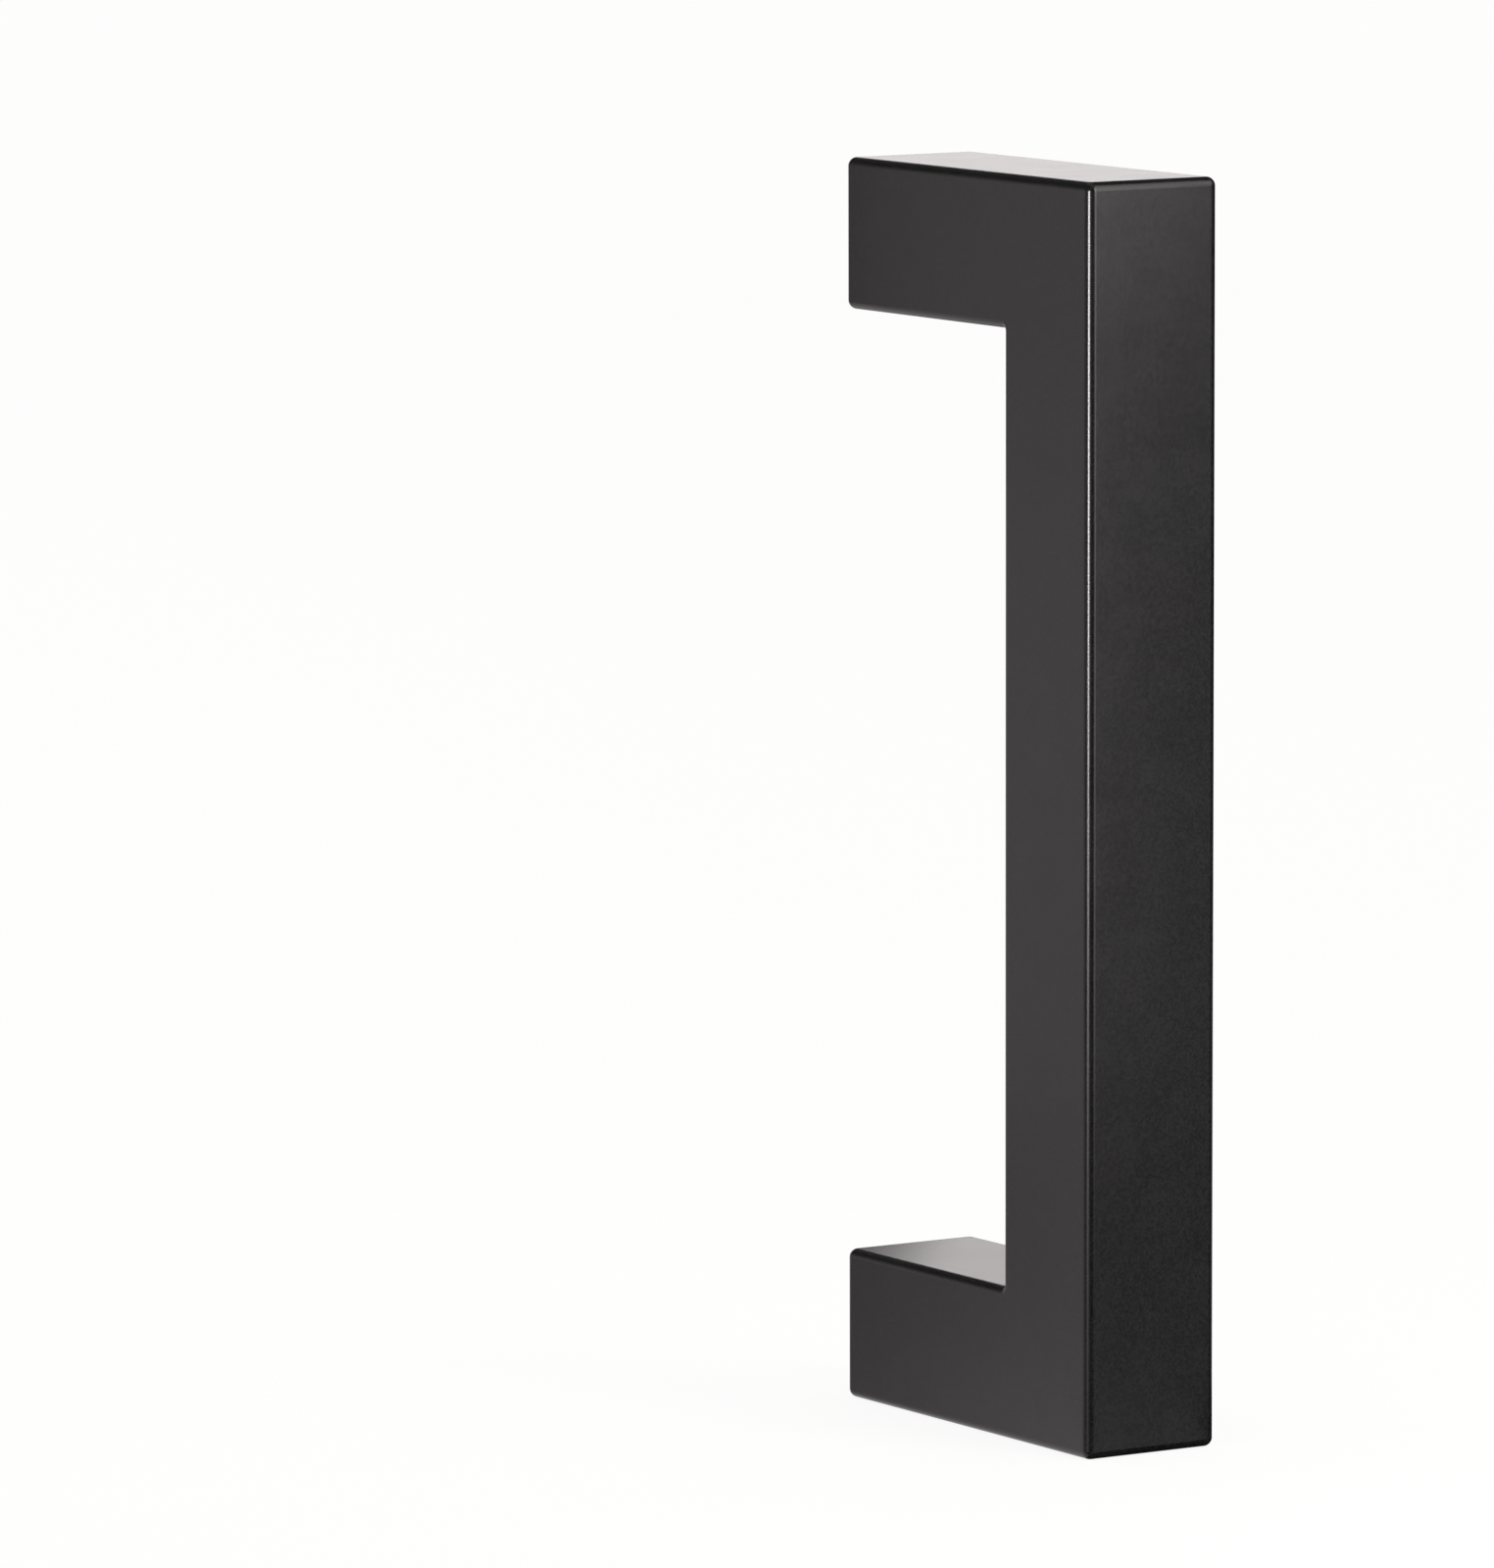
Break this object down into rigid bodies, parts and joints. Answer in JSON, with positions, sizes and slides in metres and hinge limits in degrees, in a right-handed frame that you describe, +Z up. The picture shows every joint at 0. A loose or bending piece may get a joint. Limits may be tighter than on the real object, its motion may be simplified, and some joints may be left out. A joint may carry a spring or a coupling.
{
  "type": "bar door handle",
  "caption": "Square bar door pull in the form of a U, black coated, with rounded edges and a tapped hole in each foot for screws that come through the door.",
  "frame": {"origin": "on the door's face, midway between the two fixing holes", "axes": "+Z up along the grip, +Y into the door, X across the bar"},
  "size_m": [0.0254, 0.073, 0.2096],
  "materials": {
    "black_coat": "satin black powder coat with a very fine grain",
    "bare_thread": "bare cut steel inside the tapped holes"
  },
  "bodies": {
    "root": {"pull_bar": "black_coat"}
  },
  "joints": []
}
